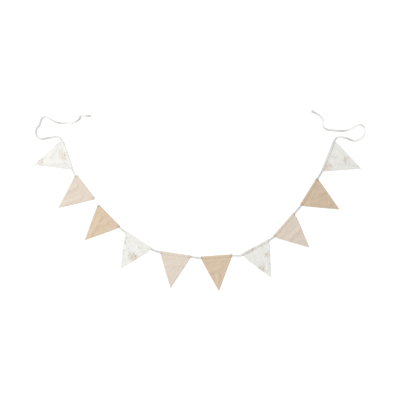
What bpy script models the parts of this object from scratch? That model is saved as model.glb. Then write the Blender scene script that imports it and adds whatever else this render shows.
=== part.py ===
"""Fabric bunting: ten two-layer cotton flags on one flat cotton tape.

Metres, +Z up, with the origin in the middle of the flags, on the surface that
they lie on. The garland lies flat in an arc that opens towards +Y, its flags
point outwards, and the tape ends in a loosely curled tie at each side.
"""

import math
from typing import NamedTuple

import bmesh
import bpy
from mathutils import Matrix, Vector

MM = 0.001

# Flag cloth, in millimetres: two layers with their seam allowances turned inside.
# The tip is rounded below TIP_ROUND, with a row of points at TIP_ROW of the way down it,
# and its end is TIP_BLUNT of its width.
CLOTH_THICK = 2.0
SEAM_BAND = 8.0
SEAM_SLOPE = 2.5
SEAM_RAISE = 0.6
SHOULDER = 1.3
RIM_TOP = 1.5
CORNER_DROP = 3.0
TIP_HALF = 3.0
TIP_ROUND = 4.0
TIP_ROW = 0.65
TIP_BLUNT = 0.3
NOTCH_DOWN = 18.0
NOTCH_REACH = 11.0

# The grid of points that a flag's two faces share. Near the tip its seam bands are
# squeezed to MOST_SEAM of the width on each side.
MIDDLE_COLUMNS = 4
BODY_ROWS = 10
MOST_SEAM = 0.42
SHARP_ANGLE = 50.0

# Tape, in millimetres.
TAPE_WIDE = 10.0
TAPE_THICK = 1.0
PIECE_GAP = 0.3

# The casing's tunnel, in millimetres: its floor, and its two sides below the top edge.
TUNNEL_FLOOR = 0.9
TUNNEL_HIGH = TAPE_THICK + 2 * PIECE_GAP
TUNNEL_WIDE = TAPE_WIDE + 4 * PIECE_GAP
TUNNEL_DOWN = 1.2
TAPE_DOWN = TUNNEL_DOWN + TUNNEL_WIDE / 2
TAPE_RAISED = TUNNEL_FLOOR + TUNNEL_HIGH / 2

# Stations along the tape, in millimetres.
MOUTH_INSIDE = 12.0
MOUTH_OUTSIDE = 2.0
TIE_STATION = 6.0
GAP_SPANS = 6
GAP_PULL = 0.45

# The right tie's free end spreads a little over this length, and is cut at a slant.
SPREAD_LENGTH = 18.0
SPREAD_SIDE = 2.0
END_SLANT = 2.5

# A crease fades out below the casing and where it lifts the cloth by less than this.
CREASE_CLEAR = 18.0
CREASE_FADE = 22.0
LEAST_LIFT = 0.25


class Profile(NamedTuple):
    """The height of the cloth's upper face at a distance below the top edge, in millimetres."""

    down: float
    top: float


CASING_PROFILE = (
    Profile(0.0, 1.8),
    Profile(0.9, 3.1),
    Profile(3.0, 3.5),
    Profile(TAPE_DOWN, 3.6),
    Profile(11.0, 3.5),
    Profile(13.2, 3.1),
    Profile(14.4, 1.6),
    Profile(16.5, CLOTH_THICK),
)


class Flag(NamedTuple):
    """One flag, counted along the tape; lengths in millimetres, headings in degrees.

    gap and gap_heading lead from the last flag's corner to this one's, and
    gap_roll is how far the tape tilts there. heading is the top edge's
    direction. The cuts blunt the two corners there, the notch draws both side
    edges in just under the casing, and the bows push them out at half height.
    """

    name: str
    cloth: str
    gap: float
    gap_heading: float
    gap_roll: float
    heading: float
    width: float
    depth: float
    tip_shift: float
    left_cut: float
    right_cut: float
    notch: float
    left_bow: float
    right_bow: float


GARLAND_START = Vector((-641.2, 370.2))

FLAGS = (
    Flag("flag_01", "printed", 0.0, 0.0, 0.0, -71.0, 160.0, 168.0, -6.0, 20.0, 5.0, 0.5, 0.0, 0.8),
    Flag("flag_02", "beige", 20.0, -57.0, -14.0, -52.2, 154.0, 165.5, 0.5, 9.0, 7.0, 0.0, 0.3, 0.9),
    Flag("flag_03", "tan", 24.5, -63.5, 11.0, -45.5, 156.0, 165.0, 1.5, 6.0, 6.0, 0.5, 1.2, 0.6),
    Flag("flag_04", "printed", 22.5, -38.0, -23.0, -33.4, 162.5, 164.0, 2.5, 8.0, 8.0, 3.5, -0.5, 0.8),
    Flag("flag_05", "beige", 30.5, -18.0, 18.0, -8.5, 157.0, 166.5, 0.0, 7.0, 5.0, 0.5, 1.0, 0.2),
    Flag("flag_06", "tan", 36.5, -7.0, 18.0, 4.1, 159.0, 168.5, 0.0, 5.0, 4.0, 0.8, 0.9, -0.6),
    Flag("flag_07", "printed", 33.0, -2.0, 16.0, 28.4, 161.0, 166.5, -3.0, 6.0, 7.0, 3.8, 0.6, -0.5),
    Flag("flag_08", "beige", 13.0, 34.0, 19.0, 48.6, 160.5, 165.5, -1.0, 7.0, 5.0, 3.0, 0.2, 0.5),
    Flag("flag_09", "tan", 36.0, 50.0, 17.0, 58.2, 160.0, 170.0, 6.0, 8.0, 5.0, 0.8, 0.8, 0.3),
    Flag("flag_10", "printed", 31.5, 57.0, 18.0, 68.1, 165.5, 172.5, 2.0, 6.0, 14.0, 0.0, 0.4, 1.2),
)


class Crease(NamedTuple):
    """A soft ridge in a flag, in millimetres across from its middle and below its top edge."""

    flag: str
    start_across: float
    start_down: float
    end_across: float
    end_down: float
    height: float
    spread: float


CREASES = (
    Crease("flag_01", 34.0, 34.0, 6.0, 112.0, 3.0, 11.0),
    Crease("flag_01", -46.0, 46.0, -20.0, 84.0, 2.0, 10.0),
    Crease("flag_02", -26.0, 40.0, -34.0, 78.0, 3.2, 10.0),
    Crease("flag_02", 30.0, 56.0, 4.0, 128.0, 2.4, 10.0),
    Crease("flag_03", -22.0, 36.0, -10.0, 76.0, 2.6, 10.0),
    Crease("flag_03", 18.0, 40.0, -10.0, 76.0, 2.2, 10.0),
    Crease("flag_03", -10.0, 76.0, 2.0, 126.0, 3.0, 10.0),
    Crease("flag_04", -30.0, 72.0, 12.0, 96.0, 2.8, 11.0),
    Crease("flag_04", 18.0, 38.0, 42.0, 44.0, 2.4, 10.0),
    Crease("flag_05", -32.0, 62.0, 34.0, 54.0, 2.8, 11.0),
    Crease("flag_05", -24.0, 92.0, 14.0, 108.0, 2.4, 10.0),
    Crease("flag_06", -36.0, 80.0, 20.0, 60.0, 3.0, 11.0),
    Crease("flag_06", 4.0, 88.0, 3.0, 134.0, 2.4, 9.0),
    Crease("flag_07", -30.0, 62.0, 10.0, 88.0, 2.8, 11.0),
    Crease("flag_07", 26.0, 70.0, 4.0, 124.0, 2.2, 9.0),
    Crease("flag_08", -40.0, 70.0, 34.0, 74.0, 3.2, 12.0),
    Crease("flag_08", -12.0, 100.0, 8.0, 128.0, 2.2, 9.0),
    Crease("flag_09", -42.0, 40.0, -2.0, 118.0, 3.2, 11.0),
    Crease("flag_09", 10.0, 50.0, 34.0, 66.0, 2.4, 10.0),
    Crease("flag_10", -18.0, 44.0, 2.0, 106.0, 2.8, 11.0),
    Crease("flag_10", 34.0, 46.0, 22.0, 78.0, 2.2, 10.0),
)


class TiePoint(NamedTuple):
    """A place that a tie passes, in millimetres, and the tape's roll there in degrees."""

    x: float
    y: float
    roll: float


# The left tie, from its free end to the first flag's casing.
LEFT_TIE = (
    TiePoint(-507.0, 476.5, -23.0),
    TiePoint(-517.0, 476.0, -26.0),
    TiePoint(-529.0, 475.0, -19.0),
    TiePoint(-541.0, 474.5, -9.0),
    TiePoint(-551.0, 476.0, 0.0),
    TiePoint(-557.0, 475.0, -17.0),
    TiePoint(-558.0, 468.0, -29.0),
    TiePoint(-562.5, 460.0, -26.0),
    TiePoint(-573.5, 452.0, -23.0),
    TiePoint(-587.5, 445.0, -8.0),
    TiePoint(-602.0, 442.0, 0.0),
    TiePoint(-626.0, 441.5, 0.0),
    TiePoint(-649.5, 441.5, 0.0),
    TiePoint(-664.0, 443.5, -21.0),
    TiePoint(-678.5, 449.0, -19.0),
    TiePoint(-692.5, 457.0, -12.0),
    TiePoint(-706.5, 466.0, 0.0),
    TiePoint(-718.0, 470.0, -3.0),
    TiePoint(-729.5, 470.0, -8.0),
    TiePoint(-738.5, 466.0, -15.0),
    TiePoint(-743.5, 456.5, -13.0),
    TiePoint(-746.5, 447.5, -11.0),
    TiePoint(-749.5, 438.0, -11.0),
    TiePoint(-756.0, 426.0, -11.0),
    TiePoint(-765.0, 415.5, -10.0),
    TiePoint(-768.5, 400.5, -10.0),
    TiePoint(-767.0, 386.0, -9.0),
    TiePoint(-760.0, 375.0, -2.0),
    TiePoint(-749.5, 368.5, 13.0),
    TiePoint(-735.0, 367.0, 21.0),
    TiePoint(-716.5, 369.5, 20.0),
    TiePoint(-693.0, 374.0, 7.0),
    TiePoint(-671.5, 376.5, 0.0),
    TiePoint(-659.5, 374.5, -4.0),
    TiePoint(-652.5, 369.5, -19.0),
    TiePoint(-649.0, 363.0, -26.0),
)

# The right tie, from the last flag's casing to its free end.
RIGHT_TIE = (
    TiePoint(656.0, 364.5, 17.0),
    TiePoint(661.0, 370.0, 17.0),
    TiePoint(669.0, 373.5, 9.0),
    TiePoint(682.0, 375.0, 13.0),
    TiePoint(697.0, 373.0, 22.0),
    TiePoint(716.5, 366.5, 20.0),
    TiePoint(735.5, 359.0, 19.0),
    TiePoint(754.5, 358.0, 9.0),
    TiePoint(769.5, 364.5, -6.0),
    TiePoint(783.0, 374.5, -10.0),
    TiePoint(791.5, 386.5, -11.0),
    TiePoint(794.5, 404.0, -11.0),
    TiePoint(792.5, 418.5, -10.0),
    TiePoint(787.0, 427.5, -20.0),
    TiePoint(777.5, 433.0, -9.0),
    TiePoint(764.0, 432.0, 8.0),
    TiePoint(749.5, 427.0, 12.0),
    TiePoint(735.5, 418.5, 11.0),
    TiePoint(716.5, 409.0, -7.0),
    TiePoint(692.5, 404.5, -21.0),
    TiePoint(669.0, 405.0, -22.0),
    TiePoint(645.0, 407.0, -21.0),
    TiePoint(621.5, 409.5, -21.0),
    TiePoint(607.0, 416.0, -15.0),
    TiePoint(598.0, 425.0, 1.0),
    TiePoint(596.5, 435.5, -7.0),
    TiePoint(598.5, 447.5, -7.0),
    TiePoint(595.0, 461.5, -2.0),
    TiePoint(585.5, 473.5, 8.0),
    TiePoint(570.0, 484.5, 11.0),
    TiePoint(556.0, 492.5, 0.0),
    TiePoint(542.5, 499.5, 0.0),
)

CLOTH_COLOURS = {
    "printed": (0.87, 0.86, 0.82),
    "beige": (0.74, 0.66, 0.57),
    "tan": (0.70, 0.58, 0.46),
}
TAPE_COLOUR = (0.89, 0.88, 0.86)
COTTON_ROUGHNESS = 0.92


class Placed(NamedTuple):
    """A flag with the place of its top edge's middle, in millimetres."""

    flag: Flag
    middle: Vector


class Station(NamedTuple):
    """A place on the tape's middle line, in millimetres, and the tape's roll there in degrees."""

    point: Vector
    roll: float


def blend(first, second, share):
    """The value that lies this share of the way from the first to the second."""
    return first + (second - first) * share


def eased(share):
    """A share from 0 to 1 that starts and ends softly."""
    share = min(max(share, 0.0), 1.0)
    return share * share * (3.0 - 2.0 * share)


def along(heading):
    """The unit vector on the surface that points this many degrees round from +X."""
    turn = math.radians(heading)
    return Vector((math.cos(turn), math.sin(turn)))


def place_flags():
    """Walks along the garland and gives each flag its place."""
    corner = GARLAND_START.copy()
    placed = []
    for flag in FLAGS:
        corner += along(flag.gap_heading) * flag.gap
        edge = along(flag.heading) * flag.width
        placed.append(Placed(flag, corner + edge / 2))
        corner += edge
    return placed


def on_flag(place, across, down):
    """The point this far across from a flag's middle and below its top edge."""
    forwards = along(place.flag.heading)
    outwards = Vector((forwards.y, -forwards.x))
    return place.middle + forwards * across + outwards * down


def new_collection(name, hidden=False):
    """A collection in the scene, left out of renders if hidden."""
    collection = bpy.data.collections.new(name)
    bpy.context.scene.collection.children.link(collection)
    collection.hide_render = hidden
    return collection


def cotton(name, colour):
    """A matt cotton of this colour."""
    material = bpy.data.materials.new(name)
    material.use_nodes = True
    shader = material.node_tree.nodes["Principled BSDF"]
    shader.inputs["Base Color"].default_value = (*colour, 1.0)
    shader.inputs["Roughness"].default_value = COTTON_ROUGHNESS
    shader.inputs["Metallic"].default_value = 0.0
    return material


def row_depths(flag):
    """The distances below the top edge at which a flag has a row of points."""
    casing = [profile.down for profile in CASING_PROFILE]
    first, last = casing[-1], flag.depth - TIP_ROUND
    body = [blend(first, last, row / BODY_ROWS) for row in range(1, BODY_ROWS + 1)]
    return casing + body + [last + TIP_ROUND * TIP_ROW, flag.depth]


def side_reach(flag, down, cut, bow):
    """How far a side edge stands from the flag's middle line at this depth."""
    straight_end = flag.depth - TIP_ROUND
    if down > straight_end:
        past = (down - straight_end) / TIP_ROUND
        return TIP_HALF * max(math.sqrt(1.0 - past * past), TIP_BLUNT)
    reach = blend(flag.width / 2, TIP_HALF, down / straight_end)
    reach -= cut * (1.0 - eased(down / (cut + CORNER_DROP)))
    reach -= flag.notch * eased(1.0 - abs(down - NOTCH_DOWN) / NOTCH_REACH)
    return reach + bow * math.sin(math.pi * down / straight_end)


def mouth_reach(flag, cut):
    """How far from the flag's middle the tape is past the casing's slanted mouth on this side."""
    downs = (TUNNEL_DOWN, TAPE_DOWN, TUNNEL_DOWN + TUNNEL_WIDE)
    return max(side_reach(flag, down, cut, 0.0) for down in downs) + MOUTH_OUTSIDE


def column_offsets(width):
    """Distances from the left edge of the columns of points, for a flag this wide here."""
    seam = [0.0, SHOULDER, SEAM_BAND, SEAM_BAND + SEAM_SLOPE]
    squeeze = min(1.0, MOST_SEAM * width / seam[-1])
    left = [offset * squeeze for offset in seam]
    first, last = left[-1], width - left[-1]
    middle = [blend(first, last, step / MIDDLE_COLUMNS) for step in range(1, MIDDLE_COLUMNS)]
    return left + middle + [width - offset for offset in reversed(left)]


def casing_top(down):
    """The height of the upper face in the casing, read from its profile."""
    for before, after in zip(CASING_PROFILE, CASING_PROFILE[1:]):
        if down <= after.down:
            return blend(before.top, after.top, (down - before.down) / (after.down - before.down))
    return CLOTH_THICK


def top_height(down, from_edge):
    """The height of the upper face above the lower one, with column steps counted from the edge."""
    if down <= CASING_PROFILE[-1].down:
        return casing_top(down)
    if from_edge == 0:
        return RIM_TOP
    return CLOTH_THICK + (SEAM_RAISE if from_edge <= 2 else 0.0)


def crease_lift(flag, across, down):
    """How far this flag's creases lift the cloth off the surface here."""
    lift = 0.0
    for crease in (crease for crease in CREASES if crease.flag == flag.name):
        start = Vector((crease.start_across, crease.start_down))
        run = Vector((crease.end_across, crease.end_down)) - start
        offset = Vector((across, down)) - start
        share = min(max(offset.dot(run) / run.length_squared, 0.0), 1.0)
        distance = (offset - run * share).length
        lift = max(lift, crease.height * math.exp(-((distance / crease.spread) ** 2)))
    lift *= eased((down - CREASE_CLEAR) / CREASE_FADE)
    return lift if lift > LEAST_LIFT else 0.0


def shape_flag(place, collection):
    """Builds one flag as a closed sheet: a grid drawn out to its outline, then given its two faces."""
    flag = place.flag
    depths = row_depths(flag)
    columns = len(column_offsets(flag.width)) - 1
    rows = len(depths) - 1
    bm = bmesh.new()
    bmesh.ops.create_grid(bm, x_segments=columns, y_segments=rows, size=1.0)
    upper = bmesh.ops.extrude_face_region(bm, geom=bm.faces[:])["geom"]
    upper = {vert for vert in upper if isinstance(vert, bmesh.types.BMVert)}
    for vert in bm.verts:
        column = round((vert.co.x + 1.0) / 2.0 * columns)
        down = depths[round((1.0 - vert.co.y) / 2.0 * rows)]
        left = side_reach(flag, down, flag.left_cut, flag.left_bow)
        width = left + side_reach(flag, down, flag.right_cut, flag.right_bow)
        middle = flag.tip_shift * down / flag.depth
        across = middle - left + column_offsets(width)[column]
        height = crease_lift(flag, across, down)
        if vert in upper:
            height += top_height(down, min(column, columns - column))
        vert.co = Vector((across, -down, height)) * MM
    bmesh.ops.recalc_face_normals(bm, faces=bm.faces[:])
    mesh = bpy.data.meshes.new(flag.name)
    bm.to_mesh(mesh)
    bm.free()
    mesh.shade_smooth()
    mesh.set_sharp_from_angle(angle=math.radians(SHARP_ANGLE))
    obj = bpy.data.objects.new(flag.name, mesh)
    collection.objects.link(obj)
    obj.location = (place.middle * MM).to_3d()
    obj.rotation_euler.z = math.radians(flag.heading)
    mesh.materials.append(cotton(f"{flag.name}_{flag.cloth}_cotton", CLOTH_COLOURS[flag.cloth]))
    return obj


def cut_tunnel(obj, place, collection):
    """Cuts the casing's tunnel from one side of a flag to the other."""
    flag = place.flag
    bm = bmesh.new()
    size = Vector((flag.width + 2 * TAPE_WIDE, TUNNEL_WIDE, TUNNEL_HIGH)) * MM
    bmesh.ops.create_cube(bm, size=1.0, matrix=Matrix.Diagonal(size.to_4d()))
    bmesh.ops.translate(bm, verts=bm.verts[:], vec=Vector((0.0, -TAPE_DOWN, TAPE_RAISED)) * MM)
    mesh = bpy.data.meshes.new(f"{flag.name}_tunnel")
    bm.to_mesh(mesh)
    bm.free()
    cutter = bpy.data.objects.new(mesh.name, mesh)
    collection.objects.link(cutter)
    cutter.location = obj.location
    cutter.rotation_euler = obj.rotation_euler
    cutter.hide_render = True
    cutter.display_type = "WIRE"
    modifier = obj.modifiers.new("tunnel", "BOOLEAN")
    modifier.operation = "DIFFERENCE"
    modifier.solver = "EXACT"
    modifier.object = cutter


def resting_height(roll):
    """The height of the tape's middle where it rests on the surface, rolled by this many degrees."""
    turn = math.radians(roll)
    return TAPE_WIDE / 2 * abs(math.sin(turn)) + TAPE_THICK / 2 * abs(math.cos(turn))


def at_height(point, roll, height):
    """The station over this point of the surface."""
    return Station(Vector((point.x, point.y, height)), roll)


def smooth_run(points, rolls, spacing):
    """Stations on a smooth curve through the points, between the second and the last but one."""
    stations = []
    for i in range(1, len(points) - 2):
        before, start, end, after = points[i - 1 : i + 3]
        steps = max(1, round((end - start).length / spacing))
        for step in range(steps):
            t = step / steps
            point = 0.5 * (
                2 * start
                + (end - before) * t
                + (2 * before - 5 * start + 4 * end - after) * t**2
                + (3 * start - before - 3 * end + after) * t**3
            )
            roll = blend(rolls[i], rolls[i + 1], eased(t))
            stations.append(at_height(point, roll, resting_height(roll)))
    stations.append(at_height(points[-2], rolls[-2], resting_height(rolls[-2])))
    return stations


def gap_run(before, after):
    """Stations where the tape lies open between two casings, bent from one heading to the next."""
    start = on_flag(before, mouth_reach(before.flag, before.flag.right_cut), TAPE_DOWN)
    end = on_flag(after, -mouth_reach(after.flag, after.flag.left_cut), TAPE_DOWN)
    pull = GAP_PULL * (end - start).length
    leave = along(before.flag.heading) * pull
    arrive = along(after.flag.heading) * pull
    stations = []
    for step in range(GAP_SPANS + 1):
        t = step / GAP_SPANS
        point = (
            start * (2 * t**3 - 3 * t**2 + 1)
            + leave * (t**3 - 2 * t**2 + t)
            + end * (3 * t**2 - 2 * t**3)
            + arrive * (t**3 - t**2)
        )
        share = math.sin(math.pi * t) ** 2
        roll = after.flag.gap_roll * share
        height = blend(TAPE_RAISED, resting_height(roll), eased(2 * share))
        stations.append(at_height(point, roll, height))
    return stations


def casing_run(place):
    """Stations inside a casing, where the tape is flat and straight."""
    left = MOUTH_INSIDE - mouth_reach(place.flag, place.flag.left_cut)
    right = mouth_reach(place.flag, place.flag.right_cut) - MOUTH_INSIDE
    return [
        at_height(on_flag(place, across, TAPE_DOWN), 0.0, TAPE_RAISED) for across in (left, right)
    ]


def tie_run(ties, place, across):
    """Stations of a tie that joins a casing at this distance across its flag."""
    mouth = on_flag(place, across, TAPE_DOWN)
    points = [Vector((tie.x, tie.y)) for tie in ties]
    rolls = [tie.roll for tie in ties]
    inner = on_flag(place, across - math.copysign(MOUTH_INSIDE, across), TAPE_DOWN)
    if across < 0:
        points = [2 * points[0] - points[1]] + points + [mouth, inner]
        rolls = [rolls[0]] + rolls + [0.0, 0.0]
        stations = smooth_run(points, rolls, TIE_STATION)
        stations[-1] = at_height(mouth, 0.0, TAPE_RAISED)
    else:
        points = [inner, mouth] + points + [2 * points[-1] - points[-2]]
        rolls = [0.0, 0.0] + rolls + [rolls[-1]]
        stations = smooth_run(points, rolls, TIE_STATION)
        stations[0] = at_height(mouth, 0.0, TAPE_RAISED)
    return stations


def tape_stations(placed):
    """Every station of the tape, from the left tie's free end to the right one's."""
    first, last = placed[0], placed[-1]
    stations = tie_run(LEFT_TIE, first, -mouth_reach(first.flag, first.flag.left_cut))
    for place, following in zip(placed, placed[1:]):
        stations += casing_run(place) + gap_run(place, following)
    stations += casing_run(last)
    return stations + tie_run(RIGHT_TIE, last, mouth_reach(last.flag, last.flag.right_cut))


def tape_axes(stations, index):
    """The directions across the tape and out of its upper face at a station."""
    ahead = stations[min(index + 1, len(stations) - 1)].point - stations[max(index - 1, 0)].point
    ahead.z = 0.0
    ahead.normalize()
    roll = Matrix.Rotation(math.radians(stations[index].roll), 3, ahead)
    return roll @ Vector((-ahead.y, ahead.x, 0.0)), roll @ Vector((0.0, 0.0, 1.0))


def end_spread(stations, index):
    """How far into its spread free end the tape is at a station, from 0 to 1."""
    from_end = (stations[index].point - stations[-1].point).length
    return 1.0 - eased(from_end / SPREAD_LENGTH)


def shape_tape(placed, collection):
    """Builds the tape as one flat strip that rolls as it goes.

    The strip is triangulated before it is given its thickness, so that its two
    faces fold alike.
    """
    stations = tape_stations(placed)
    rows = len(stations) - 1
    bm = bmesh.new()
    bmesh.ops.create_grid(bm, x_segments=1, y_segments=rows, size=1.0)
    bmesh.ops.triangulate(bm, faces=bm.faces[:], quad_method="FIXED")
    upper = bmesh.ops.extrude_face_region(bm, geom=bm.faces[:])["geom"]
    upper = {vert for vert in upper if isinstance(vert, bmesh.types.BMVert)}
    for vert in bm.verts:
        index = round((vert.co.y + 1.0) / 2.0 * rows)
        side, up = tape_axes(stations, index)
        across = math.copysign(TAPE_WIDE / 2 + SPREAD_SIDE * end_spread(stations, index), vert.co.x)
        rise = TAPE_THICK / 2 if vert in upper else -TAPE_THICK / 2
        offset = side * across + up * rise
        if index == rows:
            offset -= side.cross(up) * math.copysign(END_SLANT, across)
        vert.co = (stations[index].point + offset) * MM
    bmesh.ops.recalc_face_normals(bm, faces=bm.faces[:])
    if bm.calc_volume(signed=True) < 0:
        bmesh.ops.reverse_faces(bm, faces=bm.faces[:])
    mesh = bpy.data.meshes.new("tape")
    bm.to_mesh(mesh)
    bm.free()
    mesh.shade_smooth()
    mesh.set_sharp_from_angle(angle=math.radians(SHARP_ANGLE))
    mesh.materials.append(cotton("tape_cotton", TAPE_COLOUR))
    obj = bpy.data.objects.new("tape", mesh)
    collection.objects.link(obj)
    return obj


def clear_scene():
    """Removes what the scene holds at the start."""
    for obj in list(bpy.data.objects):
        bpy.data.objects.remove(obj, do_unlink=True)


def main():
    """Builds the flags and the tape that runs through them."""
    clear_scene()
    parts = new_collection("fabric_bunting")
    helpers = new_collection("fabric_bunting_cutters", hidden=True)
    placed = place_flags()
    for place in placed:
        cut_tunnel(shape_flag(place, parts), place, helpers)
    shape_tape(placed, parts)


main()
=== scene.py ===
"""Looks of the fabric bunting: ten cotton flags threaded on one cotton tape, laid flat in an arc.

Everything is in metres, +Z up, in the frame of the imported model. The sizes of a
cloth's weave and print are in millimetres, and say so.
"""

from __future__ import annotations

import logging
import math
from dataclasses import dataclass
from enum import Enum
from typing import NamedTuple

import bmesh
import bpy
from mathutils import Matrix, Vector, noise

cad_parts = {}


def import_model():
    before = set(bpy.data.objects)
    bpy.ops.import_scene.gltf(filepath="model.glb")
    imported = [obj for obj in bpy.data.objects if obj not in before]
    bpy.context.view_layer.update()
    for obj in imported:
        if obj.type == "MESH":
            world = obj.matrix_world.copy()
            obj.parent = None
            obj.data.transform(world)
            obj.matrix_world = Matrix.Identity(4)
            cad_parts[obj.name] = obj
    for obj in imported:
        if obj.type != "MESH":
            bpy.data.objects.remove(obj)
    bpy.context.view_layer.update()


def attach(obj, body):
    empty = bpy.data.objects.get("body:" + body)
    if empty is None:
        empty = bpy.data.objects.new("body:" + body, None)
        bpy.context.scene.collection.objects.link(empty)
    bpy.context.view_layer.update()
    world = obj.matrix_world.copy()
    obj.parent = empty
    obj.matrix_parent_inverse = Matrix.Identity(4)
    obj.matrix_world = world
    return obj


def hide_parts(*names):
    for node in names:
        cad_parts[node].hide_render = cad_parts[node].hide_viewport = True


LOG = logging.getLogger("bunting")

BODY = "root"
MM = 0.001
UV_MAP = "cloth"
# The mark of extra cloth layers on the flags, with their painted shade at the casings, and of painted shade
# along the tape.
LAYERS_AND_SHADE_MARK = "layers"
INK_MARK = "inked"
SHARP_FROM = math.radians(60.0)
Tree = bpy.types.NodeTree
Feed = bpy.types.NodeSocket | bpy.types.Node
# How one colour is laid over another, and how one deepens another.
LAID_OVER = {"data_type": "RGBA"}
DEEPENED = {"data_type": "RGBA", "blend_type": "MULTIPLY"}


def eased(share: float) -> float:
    """A share from 0 to 1 that starts and ends softly."""
    share = min(max(share, 0.0), 1.0)
    return share * share * (3.0 - 2.0 * share)


def blend(first: float, second: float, share: float) -> float:
    """The value that lies this share of the way from the first to the second."""
    return first + (second - first) * share


def read_table(table: tuple[tuple[float, float], ...], place: float, beyond: float) -> float:
    """Reads a table of places and values, with a soft change from each row to the next.

    Args:
        table: its rows, in the order of their places.
        place: where it is read.
        beyond: the value past its last row.

    Returns:
        The value there.
    """
    for (start, before), (end, after) in zip(table, table[1:]):
        if place <= end:
            return blend(before, after, eased((place - start) / (end - start)))
    return beyond


def along(heading: float) -> Vector:
    """The unit vector on the surface that points this many degrees round from +X."""
    turn = math.radians(heading)
    return Vector((math.cos(turn), math.sin(turn)))


def linear(hex_colour: str) -> tuple[float, float, float, float]:
    """Turns an sRGB hex colour to the linear colour that a shader takes.

    Args:
        hex_colour: six hex digits after a hash sign.

    Returns:
        Linear red, green, blue and an alpha of 1.
    """
    channels = (int(hex_colour[i : i + 2], 16) / 255.0 for i in (1, 3, 5))
    made = (c / 12.92 if c <= 0.04045 else ((c + 0.055) / 1.055) ** 2.4 for c in channels)
    return (*made, 1.0)


def feed(tree: Tree, node: bpy.types.Node, feeds: dict) -> None:
    """Sets or links a node's inputs.

    Args:
        tree: the node tree that it stands in.
        node: the node.
        feeds: for each input, by name or number, its value, or the socket or the node that feeds it.
    """
    for key, value in feeds.items():
        if isinstance(value, bpy.types.Node):
            value = next(socket for socket in value.outputs if socket.enabled)
        if isinstance(value, bpy.types.NodeSocket):
            tree.links.new(value, node.inputs[key])
        else:
            node.inputs[key].default_value = value


def add_node(tree: Tree, kind: str, feeds: dict | None = None, **settings: object) -> bpy.types.Node:
    """Adds one shader node with its settings and links.

    Args:
        tree: the node tree that gets it.
        kind: the node's type without the words ShaderNode, such as Math.
        feeds: what its inputs get, as in feed.
        settings: the node's own properties.

    Returns:
        The new node.
    """
    node = tree.nodes.new(f"ShaderNode{kind}")
    for name, value in settings.items():
        setattr(node, name, value)
    feed(tree, node, feeds or {})
    return node


def new_material(name: str) -> tuple[bpy.types.Material, Tree, bpy.types.Node]:
    """A new material, its node tree and its shader."""
    material = bpy.data.materials.new(name)
    material.use_nodes = True
    return material, material.node_tree, material.node_tree.nodes["Principled BSDF"]


def flat_place(tree: Tree) -> Feed:
    """The place on the cloth as it was before it was sewn, in millimetres."""
    cloth = add_node(tree, "UVMap", uv_map=UV_MAP)
    return add_node(tree, "Mapping", {"Vector": cloth, "Scale": (1.0 / MM,) * 3})


class Cloth(Enum):
    """The three cloths that the flags are sewn from."""

    PRINTED = "printed_cotton"
    BEIGE = "beige_cotton"
    TAN = "tan_cotton"


class FlagCut(NamedTuple):
    """One flag, counted along the tape; lengths in millimetres, headings in degrees.

    gap and gap_heading lead from the last flag's corner to this one's, and
    gap_roll is how far the tape tilts there. heading is the top edge's
    direction. The cuts blunt the two corners there, the notch draws both side
    edges in just under the casing, and the bows push them out at half height.
    """

    name: str
    cloth: Cloth
    gap: float
    gap_heading: float
    gap_roll: float
    heading: float
    width: float
    depth: float
    tip_shift: float
    left_cut: float
    right_cut: float
    notch: float
    left_bow: float
    right_bow: float


GARLAND_START = Vector((-641.2, 370.2))

FLAG_CUTS = (
    FlagCut("flag_01", Cloth.PRINTED, 0, 0, 0, -71, 160, 168, -6, 20, 5, 0.5, 0, 0.8),
    FlagCut("flag_02", Cloth.BEIGE, 20, -57, -14, -52.2, 154, 165.5, 0.5, 9, 7, 0, 0.3, 0.9),
    FlagCut("flag_03", Cloth.TAN, 24.5, -63.5, 11, -45.5, 156, 165, 1.5, 6, 6, 0.5, 1.2, 0.6),
    FlagCut("flag_04", Cloth.PRINTED, 22.5, -38, -23, -33.4, 162.5, 164, 2.5, 8, 8, 3.5, -0.5, 0.8),
    FlagCut("flag_05", Cloth.BEIGE, 30.5, -18, 18, -8.5, 157, 166.5, 0, 7, 5, 0.5, 1, 0.2),
    FlagCut("flag_06", Cloth.TAN, 36.5, -7, 18, 4.1, 159, 168.5, 0, 5, 4, 0.8, 0.9, -0.6),
    FlagCut("flag_07", Cloth.PRINTED, 33, -2, 16, 28.4, 161, 166.5, -3, 6, 7, 3.8, 0.6, -0.5),
    FlagCut("flag_08", Cloth.BEIGE, 13, 34, 19, 48.6, 160.5, 165.5, -1, 7, 5, 3, 0.2, 0.5),
    FlagCut("flag_09", Cloth.TAN, 36, 50, 17, 58.2, 160, 170, 6, 8, 5, 0.8, 0.8, 0.3),
    FlagCut("flag_10", Cloth.PRINTED, 31.5, 57, 18, 68.1, 165.5, 172.5, 2, 6, 14, 0, 0.4, 1.2),
)


class Crease(NamedTuple):
    """A soft ridge in a flag, in millimetres across from its middle and below its top edge."""

    start_across: float
    start_down: float
    end_across: float
    end_down: float
    height: float
    spread: float


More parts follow.
